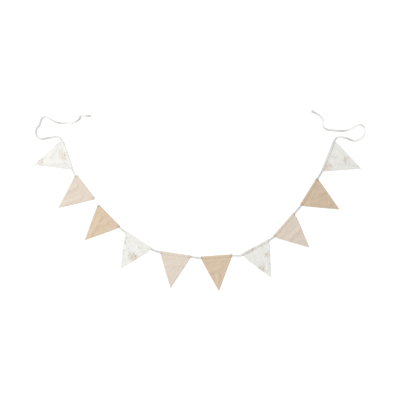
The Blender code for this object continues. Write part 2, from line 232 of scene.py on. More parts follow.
# The folds that the flags' solids have too.
MAIN_CREASES = {
    "flag_01": (Crease(34, 34, 6, 112, 3, 11), Crease(-46, 46, -20, 84, 2, 10)),
    "flag_02": (Crease(-26, 40, -34, 78, 3.2, 10), Crease(30, 56, 4, 128, 2.4, 10)),
    "flag_03": (
        Crease(-22, 36, -10, 76, 2.6, 10),
        Crease(18, 40, -10, 76, 2.2, 10),
        Crease(-10, 76, 2, 126, 3, 10),
    ),
    "flag_04": (Crease(-30, 72, 12, 96, 2.8, 11), Crease(18, 38, 42, 44, 2.4, 10)),
    "flag_05": (Crease(-32, 62, 34, 54, 2.8, 11), Crease(-24, 92, 14, 108, 2.4, 10)),
    "flag_06": (Crease(-36, 80, 20, 60, 3, 11), Crease(4, 88, 3, 134, 2.4, 9)),
    "flag_07": (Crease(-30, 62, 10, 88, 2.8, 11), Crease(26, 70, 4, 124, 2.2, 9)),
    "flag_08": (Crease(-40, 70, 34, 74, 3.2, 12), Crease(-12, 100, 8, 128, 2.2, 9)),
    "flag_09": (Crease(-42, 40, -2, 118, 3.2, 11), Crease(10, 50, 34, 66, 2.4, 10)),
    "flag_10": (Crease(-18, 44, 2, 106, 2.8, 11), Crease(34, 46, 22, 78, 2.2, 10)),
}

# Narrow folds in the upper layer alone.
FINE_CREASES = {
    "flag_01": (Crease(-40, 30, -8, 46, 0.9, 3.5), Crease(8, 60, 22, 96, 0.8, 3.2)),
    "flag_02": (
        Crease(-50, 24, -22, 34, 0.8, 3),
        Crease(-4, 52, 26, 44, 1, 3.6),
        Crease(-12, 96, 10, 90, 0.8, 3),
    ),
    "flag_03": (Crease(-40, 58, -18, 52, 0.9, 3.2), Crease(6, 30, 44, 36, 1, 3.6)),
    "flag_04": (Crease(-44, 32, -20, 50, 0.9, 3.4), Crease(0, 58, 34, 66, 0.8, 3)),
    "flag_05": (
        Crease(-50, 30, 40, 27, 0.9, 3.2),
        Crease(-20, 44, 30, 38, 0.8, 3),
        Crease(-14, 76, 22, 80, 0.9, 3.4),
    ),
    "flag_06": (
        Crease(-54, 28, 48, 26, 1, 3.2),
        Crease(-34, 46, 12, 40, 0.9, 3.4),
        Crease(-16, 104, 14, 98, 0.8, 3),
    ),
    "flag_07": (Crease(-34, 34, 18, 40, 0.8, 3.2), Crease(10, 50, 36, 60, 0.9, 3.4)),
    "flag_08": (Crease(-52, 34, -6, 28, 0.9, 3.2), Crease(6, 46, 40, 52, 0.9, 3.4)),
    "flag_09": (Crease(-30, 30, 22, 28, 1, 3.2), Crease(-6, 70, 24, 88, 0.9, 3.4)),
    "flag_10": (Crease(-44, 34, -6, 32, 0.9, 3.2), Crease(6, 58, 30, 92, 0.8, 3.4)),
}


class TiePoint(NamedTuple):
    """A place that a tie passes, in millimetres, and the tape's roll there in degrees."""

    x: float
    y: float
    roll: float


# The left tie, from its free end to the first flag's casing.
LEFT_TIE = (
    TiePoint(-507, 476.5, -23), TiePoint(-517, 476, -26), TiePoint(-529, 475, -19),
    TiePoint(-541, 474.5, -9), TiePoint(-551, 476, 0), TiePoint(-557, 475, -17), TiePoint(-558, 468, -29),
    TiePoint(-562.5, 460, -26), TiePoint(-573.5, 452, -23), TiePoint(-587.5, 445, -8),
    TiePoint(-602, 442, 0), TiePoint(-626, 441.5, 0), TiePoint(-649.5, 441.5, 0),
    TiePoint(-664, 443.5, -21), TiePoint(-678.5, 449, -19), TiePoint(-692.5, 457, -12),
    TiePoint(-706.5, 466, 0), TiePoint(-718, 470, -3), TiePoint(-729.5, 470, -8),
    TiePoint(-738.5, 466, -15), TiePoint(-743.5, 456.5, -13), TiePoint(-746.5, 447.5, -11),
    TiePoint(-749.5, 438, -11), TiePoint(-756, 426, -11), TiePoint(-765, 415.5, -10),
    TiePoint(-768.5, 400.5, -10), TiePoint(-767, 386, -9), TiePoint(-760, 375, -2),
    TiePoint(-749.5, 368.5, 13), TiePoint(-735, 367, 21), TiePoint(-716.5, 369.5, 20),
    TiePoint(-693, 374, 7), TiePoint(-671.5, 376.5, 0), TiePoint(-659.5, 374.5, -4),
    TiePoint(-652.5, 369.5, -19), TiePoint(-649, 363, -26),
)

# The right tie, from the last flag's casing to its free end.
RIGHT_TIE = (
    TiePoint(656, 364.5, 17), TiePoint(661, 370, 17), TiePoint(669, 373.5, 9), TiePoint(682, 375, 13),
    TiePoint(697, 373, 22), TiePoint(716.5, 366.5, 20), TiePoint(735.5, 359, 19), TiePoint(754.5, 358, 9),
    TiePoint(769.5, 364.5, -6), TiePoint(783, 374.5, -10), TiePoint(791.5, 386.5, -11),
    TiePoint(794.5, 404, -11), TiePoint(792.5, 418.5, -10), TiePoint(787, 427.5, -20),
    TiePoint(777.5, 433, -9), TiePoint(764, 432, 8), TiePoint(749.5, 427, 12), TiePoint(735.5, 418.5, 11),
    TiePoint(716.5, 409, -7), TiePoint(692.5, 404.5, -21), TiePoint(669, 405, -22),
    TiePoint(645, 407, -21), TiePoint(621.5, 409.5, -21), TiePoint(607, 416, -15), TiePoint(598, 425, 1),
    TiePoint(596.5, 435.5, -7), TiePoint(598.5, 447.5, -7), TiePoint(595, 461.5, -2),
    TiePoint(585.5, 473.5, 8), TiePoint(570, 484.5, 11), TiePoint(556, 492.5, 0),
    TiePoint(542.5, 499.5, 0),
)


class Placed(NamedTuple):
    """A flag with the place of its top edge's middle, in millimetres."""

    cut: FlagCut
    middle: Vector

    def point(self, across: float, down: float) -> Vector:
        """The point on the surface this far across from the flag's middle and below its top edge."""
        forwards = along(self.cut.heading)
        outwards = Vector((forwards.y, -forwards.x))
        return self.middle + forwards * across + outwards * down

    def matrix(self) -> Matrix:
        """Takes the flag's own millimetres, with its top edge along X, to its place in the model."""
        turn = Matrix.Rotation(math.radians(self.cut.heading), 4, "Z")
        return Matrix.Scale(MM, 4) @ Matrix.Translation(self.middle.to_3d()) @ turn


def place_flags() -> list[Placed]:
    """Walks along the garland and gives each flag its place.

    Returns:
        The flags in their order along the tape.
    """
    corner = GARLAND_START.copy()
    placed = []
    for cut in FLAG_CUTS:
        corner += along(cut.gap_heading) * cut.gap
        edge = along(cut.heading) * cut.width
        placed.append(Placed(cut, corner + edge / 2))
        corner += edge
    return placed


class Pattern:
    """The flags' shared sewing sizes, in millimetres."""

    CORNER_DROP = 3.0
    TIP_HALF = 3.0
    TIP_ROUND = 4.0
    TIP_BLUNT = 0.3
    NOTCH_DOWN = 18.0
    NOTCH_REACH = 11.0
    TUNNEL_TOP = 1.2
    TUNNEL_END = 12.4
    TAPE_DOWN = 6.8
    TAPE_RAISED = 1.7
    MOUTH_OUTSIDE = 2.0
    STITCH_DOWN = 13.6
    SEAM_BAND = 8.0
    CREASE_CLEAR = 18.0
    CREASE_FADE = 22.0

    @classmethod
    def line_reach(cls, cut: FlagCut, down: float) -> float:
        """How far the straight side line stands from the flag's middle line at this depth."""
        return blend(cut.width / 2, cls.TIP_HALF, down / (cut.depth - cls.TIP_ROUND))

    @classmethod
    def side_reach(cls, cut: FlagCut, down: float, corner: float, bow: float) -> float:
        """How far a side edge stands from the flag's middle line.

        Args:
            cut: the flag's sizes.
            down: the distance below the top edge.
            corner: how much this side's corner is blunted.
            bow: how far this side's edge bows out.

        Returns:
            The distance, in millimetres.
        """
        straight_end = cut.depth - cls.TIP_ROUND
        if down > straight_end:
            past = min((down - straight_end) / cls.TIP_ROUND, 1.0)
            return cls.TIP_HALF * max(math.sqrt(1.0 - past * past), cls.TIP_BLUNT)
        reach = cls.line_reach(cut, down)
        reach -= corner * (1.0 - eased(down / (corner + cls.CORNER_DROP)))
        reach -= cut.notch * eased(1.0 - abs(down - cls.NOTCH_DOWN) / cls.NOTCH_REACH)
        return reach + bow * math.sin(math.pi * down / straight_end)

    @classmethod
    def mouth(cls, cut: FlagCut, side: int) -> float:
        """Where the tape is past the casing's slanted mouth on this side, across from the flag's middle."""
        corner = cut.right_cut if side > 0 else cut.left_cut
        downs = (cls.TUNNEL_TOP, cls.TAPE_DOWN, cls.TUNNEL_END)
        reach = max(cls.side_reach(cut, down, corner, 0.0) for down in downs)
        return side * (reach + cls.MOUTH_OUTSIDE)


class Height(NamedTuple):
    """The rest height of a face at a distance below the top edge, in millimetres."""

    down: float
    height: float


@dataclass(frozen=True)
class Relief:
    """How the sewn cloth's two faces rise and fall; lengths in millimetres."""

    body: float = 1.9
    seam_raise: float = 0.55
    seam_slope: float = 3.0
    rim_round: float = 1.5
    rim_least: float = 0.42
    under_round: float = 0.45
    gather: float = 0.42
    gather_pitch: float = 6.0
    pucker: float = 0.5
    pucker_reach: float = 9.0
    seam_pucker: float = 0.34
    seam_pucker_pitch: float = 5.0
    seam_pucker_reach: float = 6.0
    crumple: float = 0.375
    crumple_pitch: float = 15.0
    crinkle: float = 0.17
    crinkle_pitch: float = 5.0

    CASING = (
        Height(0, 2.4), Height(1, 3.1), Height(3, 3.6), Height(6.8, 3.75), Height(10.5, 3.5),
        Height(12.4, 2.7), Height(13.6, 1.5), Height(15, 1.75), Height(17, 1.9),
    )

    def casing(self, down: float) -> float:
        """The upper face's height at this depth, read from the casing's profile."""
        return read_table(self.CASING, down, self.body)

    def rim(self, from_rim: float) -> float:
        """The share of its thickness that the cloth keeps this far in from its rim."""
        share = min(from_rim / self.rim_round, 1.0)
        return blend(self.rim_least, 1.0, math.sqrt(1.0 - (1.0 - share) ** 2))


# The printed cloth is finer than the other two and creases less.
RELIEFS = {
    Cloth.PRINTED: Relief(crumple=0.25, crinkle=0.1),
    Cloth.BEIGE: Relief(),
    Cloth.TAN: Relief(),
}


class FlagCloth:
    """One flag: a two-layer cotton triangle with a casing along its top edge."""

    SPACING = 1.55
    RIM_ROWS = (0.5, 1.4)
    EDGE_SLACK = 0.02
    TRIM_WITHIN = 1e-5
    CASING_ROWS = (0.0, 0.5, 1.2, 2.3, 3.8, 5.3, 6.8, 8.3, 9.8, 11.1, 12.2, 13.0, 13.6, 14.3, 15.4, 16.8)
    MOUTH_FROM = 1.0
    MOUTH_TO = 12.6
    LIP = 0.42
    CORNER_REACH = 13.0
    # Partly extra layers and partly painted shade at the corners under the casing.
    CORNER_LAYERS_AND_SHADE = 0.36
    SEAM_TONE = 0.02
    SEAM_TONE_INSIDE = 0.8
    CASING_SHADE_PAST = 0.4
    TONE_SOFT = 1.6
    STITCH_PULL = 0.3
    STITCH_PULL_REACH = 1.2
    GATHER_LONG = 0.15
    PUCKER_LONG = 0.2
    FLAG_NOISE = 7.3
    SEAM_NOISE = 3.1
    CRUMPLE_NOISE = 1.7
    CRINKLE_NOISE = 5.9

    def __init__(self, placed: Placed, number: int, relief: Relief) -> None:
        """Keeps the flag's sizes and reads its folds from the tables.

        Args:
            placed: the flag and its place on the surface.
            number: its place in the row, which sets its own gathers and crumples apart.
            relief: the sizes of its gathers, puckers and crumples.
        """
        self.placed = placed
        self.cut = placed.cut
        self.seed = float(number)
        self.relief = relief
        self.main = MAIN_CREASES[self.cut.name]
        self.fine = FINE_CREASES[self.cut.name]

    def rows(self) -> list[float]:
        """The depths of the cloth's rows of points, from the top edge to the tip."""
        casing = list(self.CASING_ROWS)
        run = self.cut.depth - casing[-1]
        steps = round(run / self.SPACING)
        body = [casing[-1] + run * step / steps for step in range(1, steps)]
        return casing + body + [self.cut.depth - self.RIM_ROWS[0], self.cut.depth]

    def from_side(self, across: float, down: float) -> float:
        """How far a point of the flat cut lies inside the nearer side line."""
        slope = (self.cut.width / 2 - Pattern.TIP_HALF) / (self.cut.depth - Pattern.TIP_ROUND)
        return (Pattern.line_reach(self.cut, down) - abs(across)) / math.hypot(1.0, slope)

    def drawn_in(self, across: float, down: float) -> float:
        """Where a point of the straight-sided cut goes once the sides have their real outline."""
        cut = self.cut
        corner, bow = (cut.right_cut, cut.right_bow) if across > 0 else (cut.left_cut, cut.left_bow)
        share = Pattern.side_reach(cut, down, corner, bow) / Pattern.line_reach(cut, down)
        return across * share + cut.tip_shift * down / cut.depth

    def folds(self, creases: tuple[Crease, ...], across: float, down: float) -> float:
        """How far these creases lift the cloth here.

        Args:
            creases: the creases that count.
            across: the distance from the flag's middle.
            down: the distance below its top edge.

        Returns:
            The lift of the highest crease, in millimetres.
        """
        lift = 0.0
        here = Vector((across, down))
        for crease in creases:
            start = Vector((crease.start_across, crease.start_down))
            run = Vector((crease.end_across, crease.end_down)) - start
            offset = here - start
            share = min(max(offset.dot(run) / run.length_squared, 0.0), 1.0)
            distance = (offset - run * share).length
            lift = max(lift, crease.height * math.exp(-((distance / crease.spread) ** 2)))
        return lift

    def waves(self, pitch: float, across: float, down: float, layer: float = 0.0) -> float:
        """An uneven rise and fall from -1 to 1 whose bumps are about this far apart."""
        return noise.noise(Vector((across / pitch, down / pitch, self.FLAG_NOISE * self.seed + layer)))

    def lift(self, across: float, down: float) -> float:
        """How far the main creases lift both layers off the surface."""
        fade = eased((down - Pattern.CREASE_CLEAR) / Pattern.CREASE_FADE)
        return self.folds(self.main, across, down) * fade

    def upper(self, across: float, down: float, drawn: float) -> float:
        """The height of the upper face.

        Args:
            across: the distance from the middle of the straight-sided cut.
            down: the distance below the top edge.
            drawn: where the point lies across the flag's real outline.

        Returns:
            The height above the surface, in millimetres.
        """
        relief = self.relief
        side = self.from_side(across, down)
        height = relief.casing(down)
        below = max(down - Pattern.STITCH_DOWN, 0.0)
        in_body = eased(below / Pattern.SEAM_BAND)
        band = 1.0 - eased((side - Pattern.SEAM_BAND) / relief.seam_slope)
        height += relief.seam_raise * band * in_body
        gathers = self.waves(relief.gather_pitch, drawn, self.GATHER_LONG * down)
        if down < Pattern.STITCH_DOWN:
            height += relief.gather * gathers * eased(down / Pattern.STITCH_DOWN)
        else:
            height += relief.pucker * gathers * math.exp(-below / relief.pucker_reach)
        seam = self.waves(relief.seam_pucker_pitch, self.PUCKER_LONG * across, down, self.SEAM_NOISE)
        height += relief.seam_pucker * seam * math.exp(-side / relief.seam_pucker_reach)
        ridge = 1.0 - 2.0 * abs(self.waves(relief.crumple_pitch, drawn, down, self.CRUMPLE_NOISE))
        height += relief.crumple * ridge * in_body * eased(side / Pattern.SEAM_BAND)
        crinkle = self.waves(relief.crinkle_pitch, drawn, down, self.CRINKLE_NOISE)
        height += relief.crinkle * crinkle * in_body
        height += self.folds(self.fine, drawn, down) * in_body
        return height * self.at_rim(side, down) + self.lift(drawn, down)

    def lower(self, across: float, down: float, drawn: float) -> float:
        """The height of the lower face, which lies on the surface except under a fold and at its rim."""
        side = self.from_side(across, down)
        rounding = (1.0 - self.at_rim(side, down)) * self.relief.under_round / (1.0 - self.relief.rim_least)
        off_stitch = (down - Pattern.STITCH_DOWN) / self.STITCH_PULL_REACH
        stitch = self.STITCH_PULL * math.exp(-(off_stitch**2))
        return rounding + stitch + self.lift(drawn, down)

    def at_rim(self, side: float, down: float) -> float:
        """The share of its thickness that the cloth keeps here, less near its three rims."""
        nearest = min(max(side, 0.0), down, self.cut.depth - down)
        return self.relief.rim(max(nearest, 0.0))

    def layers(self, across: float, down: float) -> float:
        """How deep the cloth is drawn here, from 0 to 1: extra layers at the seams, painted shade on some
        casings, partly extra layers and partly painted shade where seam and casing cross, and each flag's own
        deepening.
        """
        side = self.from_side(across, down)
        seam = 1.0 - eased((side - Pattern.SEAM_BAND + self.SEAM_TONE_INSIDE) / self.TONE_SOFT)
        casing = 1.0 - eased((down - Pattern.STITCH_DOWN - self.CASING_SHADE_PAST) / self.TONE_SOFT)
        corner = casing * (1.0 - eased((side - Pattern.SEAM_BAND) / (self.CORNER_REACH - Pattern.SEAM_BAND)))
        place = CUT_PLACES[self.cut.name]
        # Extra layers show at the seams; the casing band's share is painted shade, and the corners under the
        # casing are partly extra layers and partly painted shade where the tape bunches.
        deeper_and_shaded = place.whole + place.casing * casing + self.SEAM_TONE * seam + self.CORNER_LAYERS_AND_SHADE * corner
        return min(1.0, deeper_and_shaded)

    def build(self) -> bpy.types.Object:
        """Cuts the cloth from a grid, gives it its two faces and opens the casing's two mouths.

        Returns:
            The flag as one closed piece with a tunnel through its casing.
        """
        cut = self.cut
        depths = self.rows()
        columns = round(cut.width / self.SPACING)
        bm = bmesh.new()
        # New layers make stale every point held in a variable, so they come first.
        bm.loops.layers.uv.new(UV_MAP)
        bm.verts.layers.float.new(LAYERS_AND_SHADE_MARK)
        bm.verts.layers.float.new(INK_MARK)
        bmesh.ops.create_grid(bm, x_segments=columns, y_segments=len(depths) - 1, size=1.0)
        for vert in bm.verts:
            row = round((1.0 - vert.co.y) / 2.0 * (len(depths) - 1))
            vert.co = Vector((vert.co.x * cut.width / 2, -depths[row], 0.0))
        self.trim_sides(bm)
        lower = set(bm.faces)
        made = bmesh.ops.extrude_face_region(bm, geom=bm.faces[:])["geom"]
        upper = {vert for vert in made if isinstance(vert, bmesh.types.BMVert)}
        upper_faces = {face for face in made if isinstance(face, bmesh.types.BMFace)}
        rims = [face for face in bm.faces if face not in lower and face not in upper_faces]
        mouths = [[face for face in rims if self.in_mouth(face, side)] for side in (-1, 1)]
        self.mark_cloth(bm, upper)
        for vert in bm.verts:
            across, down = vert.co.x, -vert.co.y
            drawn = self.drawn_in(across, down)
            face_height = self.upper if vert in upper else self.lower
            vert.co = Vector((drawn, -down, face_height(across, down, drawn)))
        self.open_tunnel(bm, mouths)
        bm.transform(self.placed.matrix())
        return finished(bm, f"{cut.name}_cloth")

    def trim_sides(self, bm: bmesh.types.BMesh) -> None:
        """Trims the grid along both side lines, with two rows of points just inside each."""
        cut = self.cut
        end = cut.depth - Pattern.TIP_ROUND
        for side in (-1, 1):
            top = Vector((side * cut.width / 2, 0.0, 0.0))
            run = Vector((side * Pattern.TIP_HALF, -end, 0.0)) - top
            outwards = Vector((-run.y, run.x, 0.0)).normalized() * side
            for inside in (0.0, *self.RIM_ROWS):
                bmesh.ops.bisect_plane(
                    bm,
                    geom=bm.verts[:] + bm.edges[:] + bm.faces[:],
                    dist=self.TRIM_WITHIN,
                    plane_co=top - outwards * inside,
                    plane_no=outwards,
                    clear_outer=inside == 0.0,
                )

    def in_mouth(self, face: bmesh.types.BMFace, side: int) -> bool:
        """Whether a rim face of the flat cut lies in the casing's mouth on this side."""
        middle = face.calc_center_median()
        on_side = self.from_side(middle.x, -middle.y) < self.EDGE_SLACK
        return on_side and middle.x * side > 0 and self.MOUTH_FROM < -middle.y < self.MOUTH_TO

    def mark_cloth(self, bm: bmesh.types.BMesh, upper: set[bmesh.types.BMVert]) -> None:
        """Writes the flat cut's own coordinates and its layers on the mesh, before it is shaped.

        Args:
            bm: the flat cut, in millimetres.
            upper: the upper face's points.
        """
        uv = bm.loops.layers.uv[UV_MAP]
        layer = bm.verts.layers.float[LAYERS_AND_SHADE_MARK]
        inked = bm.verts.layers.float[INK_MARK]
        place = CUT_PLACES[self.cut.name]
        shift = Vector((place.across, place.down))
        for vert in bm.verts:
            vert[layer] = self.layers(vert.co.x, -vert.co.y)
            vert[inked] = place.inked
        for face in bm.faces:
            back = not any(vert in upper for vert in face.verts)
            for loop in face.loops:
                flat = Vector((loop.vert.co.x, loop.vert.co.y))
                if back:
                    flat = Vector((-flat.x, flat.y)) + PRINT_BACK_SHIFT
                loop[uv].uv = (flat + shift) * MM

    def open_tunnel(self, bm: bmesh.types.BMesh, mouths: list[list[bmesh.types.BMFace]]) -> None:
        """Insets both mouths by the cloth's own thickness and joins them through the casing.

        Args:
            bm: the shaped cloth.
            mouths: the rim faces of the left and the right mouth.
        """
        loops = []
        for faces in mouths:
            bmesh.ops.inset_region(bm, faces=faces, thickness=self.LIP, use_even_offset=True)
            edges = {edge for face in faces for edge in face.edges}
            inner = [edge for edge in edges if any(other not in faces for other in edge.link_faces)]
            bmesh.ops.delete(bm, geom=faces, context="FACES")
            loops += [edge for edge in inner if edge.is_valid]
        bmesh.ops.bridge_loops(bm, edges=loops)


def finished(bm: bmesh.types.BMesh, name: str) -> bpy.types.Object:
    """Makes the mesh a smooth object in the scene, its faces turned outwards.

    Args:
        bm: the finished mesh in the model's frame, which is freed.
        name: the new object's name.

    Returns:
        The object, at the origin.
    """
    bmesh.ops.recalc_face_normals(bm, faces=bm.faces[:])
    if bm.calc_volume(signed=True) < 0:
        bmesh.ops.reverse_faces(bm, faces=bm.faces[:])
    mesh = bpy.data.meshes.new(name)
    bm.to_mesh(mesh)
    bm.free()
    mesh.shade_smooth()
    mesh.set_sharp_from_angle(angle=SHARP_FROM)
    obj = bpy.data.objects.new(name, mesh)
    bpy.context.scene.collection.objects.link(obj)
    return obj


class CutPlace(NamedTuple):
    """Where in its cloth a flag is cut, in millimetres, and how deep its colours are drawn there.

    inked is the share of the print's full strength. whole and casing say how
    much deeper the cloth is drawn all over and in the casing, as shares of a full
    extra layer; the casing's share is painted shade on the casing band.
    """

    across: float
    down: float
    inked: float
    whole: float
    casing: float


# The casing column is painted shade on the casing band, strongest on flags 7 and 10.
CUT_PLACES = {
    "flag_01": CutPlace(42, 60, 0.5, 0.08, 0.0),
    "flag_02": CutPlace(31, 77, 1.0, 0.05, 0.0),
    "flag_03": CutPlace(55, 21, 1.0, 0.0, 0.02),
    "flag_04": CutPlace(15, 9, 1.0, 0.02, 0.0),
    "flag_05": CutPlace(12, 38, 1.0, 0.0, 0.02),
    "flag_06": CutPlace(83, 9, 1.0, 0.05, 0.0),
    "flag_07": CutPlace(69, 33, 0.8, 0.06, 0.35),
    "flag_08": CutPlace(61, 90, 1.0, 0.12, 0.0),
    "flag_09": CutPlace(18, 64, 1.0, 0.21, 0.0),
    "flag_10": CutPlace(93, 61, 0.7, 0.13, 0.35),
}
PRINT_BACK_SHIFT = Vector((37.0, 23.0))


@dataclass(frozen=True)
class Stitching:
    """The row of machine stitches that closes a flag's casing; lengths in millimetres."""

    length: float = 2.7
    gap: float = 0.7
    thick: float = 0.5
    from_corner: float = 3.0
    sunk: float = 0.1

    def build(self, flag: FlagCloth) -> bpy.types.Object:
        """Lays one row of stitches on each face of a flag, in the trough under its casing.

        Args:
            flag: the flag that is sewn.

        Returns:
            All its stitches, joined.
        """
        down = Pattern.STITCH_DOWN
        reach = Pattern.line_reach(flag.cut, down) - self.from_corner
        count = int(2 * reach / (self.length + self.gap))
        bm = bmesh.new()
        for step in range(count):
            across = blend(-reach, reach, (step + 0.5) / count)
            drawn = flag.drawn_in(across, down)
            top = flag.upper(across, down, drawn) - self.sunk
            under = flag.lower(across, down, drawn) + self.sunk
            for height in (top, max(under, self.thick / 2)):
                size = Matrix.Diagonal((self.length / 2, self.thick / 2, self.thick / 2, 1.0))
                place = Matrix.Translation((drawn, -down, height))
                bmesh.ops.create_uvsphere(
                    bm, u_segments=6, v_segments=4, radius=1.0, matrix=place @ size @ SPHERE_ALONG
                )
        bm.transform(flag.placed.matrix())
        return finished(bm, f"{flag.cut.name}_stitches")


# Turns a sphere so that its poles point along the stitch.
SPHERE_ALONG = Matrix.Rotation(math.radians(90.0), 4, "Y")


class Station(NamedTuple):
    """A place on the tape's middle line, in millimetres, and its roll in degrees."""

    point: Vector
    roll: float


class TapeShade(NamedTuple):
    """How much painted shade the tape has this many millimetres from its left end, from 0 for none to 1 for
    its full grey.
    """

    measured: float
    grey: float


# Painted shade along the tape: it is drawn greyer where its twists and folds lie in shade.
TAPE_PAINTED_SHADE = (
    TapeShade(0, 0.8), TapeShade(42, 0.2), TapeShade(60, 0.7), TapeShade(110, 0.2), TapeShade(170, 0.7),
    TapeShade(235, 0.3), TapeShade(260, 0.7), TapeShade(340, 0.7), TapeShade(360, 0.4), TapeShade(395, 0.8),
    TapeShade(450, 0.4), TapeShade(655, 0.3), TapeShade(820, 0), TapeShade(1000, 0.5), TapeShade(1190, 0.7),
    TapeShade(1380, 0.6), TapeShade(1590, 0.4), TapeShade(1760, 0.6), TapeShade(2145, 0.7),
    TapeShade(2335, 0.6), TapeShade(2355, 0.1), TapeShade(2415, 0.8), TapeShade(2435, 0.1), TapeShade(2520, 0),
    TapeShade(2532, 0.5), TapeShade(2555, 0), TapeShade(2605, 0), TapeShade(2640, 0.7), TapeShade(2680, 0.3),
    TapeShade(2715, 0.6), TapeShade(2745, 0), TapeShade(2790, 0.2), TapeShade(2825, 0.8),
)


class TapeStrip:
    """The woven tape that threads all the casings and ends in two free ties; lengths in millimetres."""

    WIDE = 10.0
    THICK = 0.95
    REST_HALF = 0.5
    AROUND = 14
    SIDE_SHARP = 0.3
    FACE_SHARP = 0.5
    CUPPED = 0.25
    SPACING = 3.0
    GAP_SPANS = 14
    GAP_PULL = 0.45
    CASING_SPANS = 24
    MOUTH_INSIDE = 12.0
    WAVER = 0.35
    WAVER_PITCH = 14.0
    SPREAD_LENGTH = 18.0
    SPREAD_SIDE = 2.0
    SLANT_LENGTH = 6.0
    END_SLANT = 2.5
    JOIN_WITHIN = 1e-4

    def __init__(self, placed: list[Placed]) -> None:
        """Keeps the flags that the tape threads and works out its stations."""
        self.placed = placed
        self.stations = self.route()

    @classmethod
    def resting(cls, roll: float) -> float:
        """The height of the tape's middle where it rests on the surface, rolled by this much."""
        turn = math.radians(roll)
        return cls.WIDE / 2 * abs(math.sin(turn)) + cls.REST_HALF * abs(math.cos(turn))

    def smooth_run(self, points: list[Vector], rolls: list[float]) -> list[Station]:
        """Stations on a smooth curve between the second point and the last but one.

        Args:
            points: the places that the curve passes.
            rolls: the tape's roll at each.

        Returns:
            The stations in the points' order.
        """
        stations = []
        for i in range(1, len(points) - 2):
            before, start, end, after = points[i - 1 : i + 3]
            steps = max(1, round((end - start).length / self.SPACING))
            for step in range(steps):
                t = step / steps
                point = 0.5 * (
                    2 * start
                    + (end - before) * t
                    + (2 * before - 5 * start + 4 * end - after) * t**2
                    + (3 * start - before - 3 * end + after) * t**3
                )
                roll = blend(rolls[i], rolls[i + 1], eased(t))
                stations.append(Station(Vector((*point, self.resting(roll))), roll))
        roll = rolls[-2]
        stations.append(Station(Vector((*points[-2], self.resting(roll))), roll))
        return stations

    def gap_run(self, before: Placed, after: Placed) -> list[Station]:
        """Stations where the tape lies open between two casings.

        Args:
            before: the flag that it leaves.
            after: the flag that it enters.

        Returns:
            The stations from one mouth to the next.
        """
        start = before.point(Pattern.mouth(before.cut, 1), Pattern.TAPE_DOWN)
        end = after.point(Pattern.mouth(after.cut, -1), Pattern.TAPE_DOWN)
        pull = self.GAP_PULL * (end - start).length
        leave = along(before.cut.heading) * pull
        arrive = along(after.cut.heading) * pull
        stations = []
        for step in range(self.GAP_SPANS + 1):
            t = step / self.GAP_SPANS
            point = (
                start * (2 * t**3 - 3 * t**2 + 1)
                + leave * (t**3 - 2 * t**2 + t)
                + end * (3 * t**2 - 2 * t**3)
                + arrive * (t**3 - t**2)
            )
            share = math.sin(math.pi * t) ** 2
            roll = after.cut.gap_roll * share
            height = blend(Pattern.TAPE_RAISED, self.resting(roll), eased(2 * share))
            stations.append(Station(Vector((*point, height)), roll))
        return stations

    def casing_run(self, place: Placed) -> list[Station]:
        """Stations inside a casing, where the tape is flat and straight."""
        left = Pattern.mouth(place.cut, -1) + self.MOUTH_INSIDE
        right = Pattern.mouth(place.cut, 1) - self.MOUTH_INSIDE
        shares = [step / self.CASING_SPANS for step in range(self.CASING_SPANS + 1)]
        points = [place.point(blend(left, right, share), Pattern.TAPE_DOWN) for share in shares]
        return [Station(Vector((*point, Pattern.TAPE_RAISED)), 0.0) for point in points]

    def tie_run(self, ties: tuple[TiePoint, ...], place: Placed, across: float) -> list[Station]:
        """Stations of a tie, up to where it joins a casing.

        Args:
            ties: the places that it passes.
            place: the flag whose casing it joins.
            across: where its mouth is, from that flag's middle.

        Returns:
            The stations in the order of the walk along the garland.
        """
        mouth = place.point(across, Pattern.TAPE_DOWN)
        inner = place.point(across - math.copysign(self.MOUTH_INSIDE, across), Pattern.TAPE_DOWN)
        points = [Vector((tie.x, tie.y)) for tie in ties]
        rolls = [tie.roll for tie in ties]
        raised = Station(Vector((*mouth, Pattern.TAPE_RAISED)), 0.0)
        if across < 0:
            points = [2 * points[0] - points[1], *points, mouth, inner]
            return self.smooth_run(points, [rolls[0], *rolls, 0.0, 0.0])[:-1] + [raised]
        points = [inner, mouth, *points, 2 * points[-1] - points[-2]]
        return [raised] + self.smooth_run(points, [0.0, 0.0, *rolls, rolls[-1]])[1:]

    def route(self) -> list[Station]:
        """Every station of the tape, from the left tie's free end to the right one's."""
        first, last = self.placed[0], self.placed[-1]
        stations = self.tie_run(LEFT_TIE, first, Pattern.mouth(first.cut, -1))
        for place, following in zip(self.placed, self.placed[1:]):
            stations += self.casing_run(place) + self.gap_run(place, following)
        stations += self.casing_run(last)
        return stations + self.tie_run(RIGHT_TIE, last, Pattern.mouth(last.cut, 1))

    def section(self) -> list[Vector]:
        """The tape's cross-section: a flat rounded strip, slightly cupped."""
        points = []
        for step in range(self.AROUND):
            turn = 2 * math.pi * (step + 0.5) / self.AROUND
            x, z = math.cos(turn), math.sin(turn)
            x = math.copysign(abs(x) ** self.SIDE_SHARP, x)
            z = math.copysign(abs(z) ** self.FACE_SHARP, z)
            points.append(Vector((x * self.WIDE / 2, z * self.THICK / 2)))
        return points

    def path(self) -> list[Vector]:
        """The tape's middle line, in metres."""
        return [station.point * MM for station in self.stations]

    def length(self) -> float:
        """The tape's length from one free end to the other, in metres."""
        line = self.path()
        return sum((after - before).length for before, after in zip(line, line[1:]))

    def axes(self, index: int) -> tuple[Vector, Vector]:
        """The directions across the tape and out of its upper face at a station.

        Args:
            index: the station's number.

        Returns:
            Two unit vectors.
        """
        last = len(self.stations) - 1
        ahead = self.stations[min(index + 1, last)].point - self.stations[max(index - 1, 0)].point
        ahead.z = 0.0
        ahead.normalize()
        side = Vector((-ahead.y, ahead.x, 0.0))
        turn = Matrix.Rotation(math.radians(self.stations[index].roll), 3, ahead)
        return turn @ side, turn @ Vector((0.0, 0.0, 1.0))

